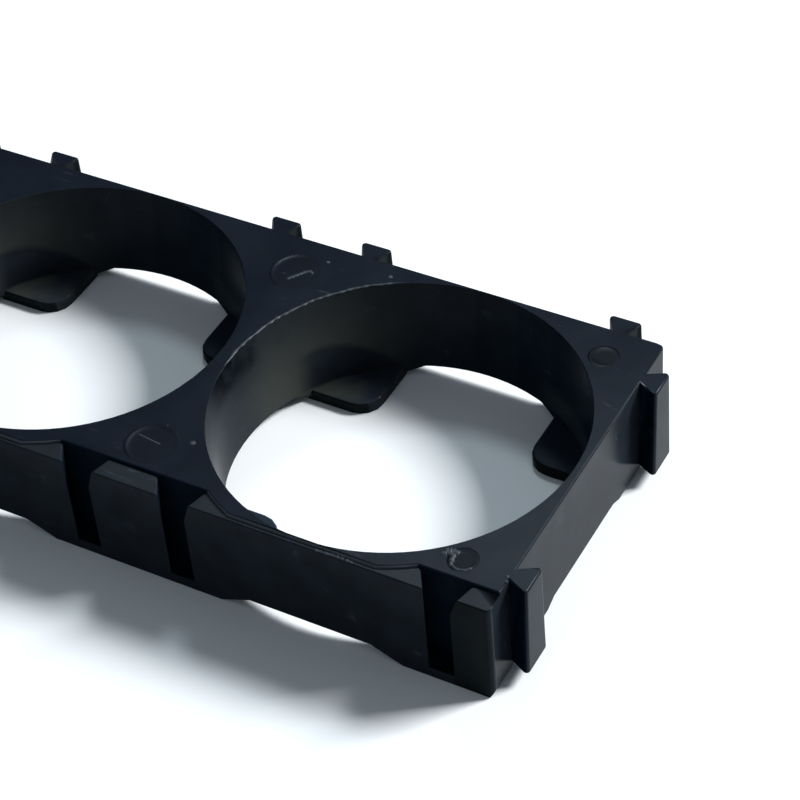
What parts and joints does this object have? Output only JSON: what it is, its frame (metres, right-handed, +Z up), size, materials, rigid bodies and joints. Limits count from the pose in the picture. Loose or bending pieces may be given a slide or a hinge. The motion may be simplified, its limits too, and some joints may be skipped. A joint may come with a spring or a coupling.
{
  "type": "battery cell holder bracket",
  "caption": "Black moulded strip with a row of open round seats for cells, corner lips below, and dovetail tabs and slots for joining strips.",
  "frame": {"origin": "under the middle of the whole strip, tabs included, on the plane of its base", "axes": "+X along the row of cells, towards the end with the tabs; +Y towards the tabbed back; +Z up, towards the open mouths of the bores"},
  "size_m": [0.1068, 0.0362, 0.011],
  "materials": {
    "moulded_black": "satin, as moulded"
  },
  "bodies": {
    "root": {"cell_holder_bracket": "moulded_black"}
  },
  "joints": []
}
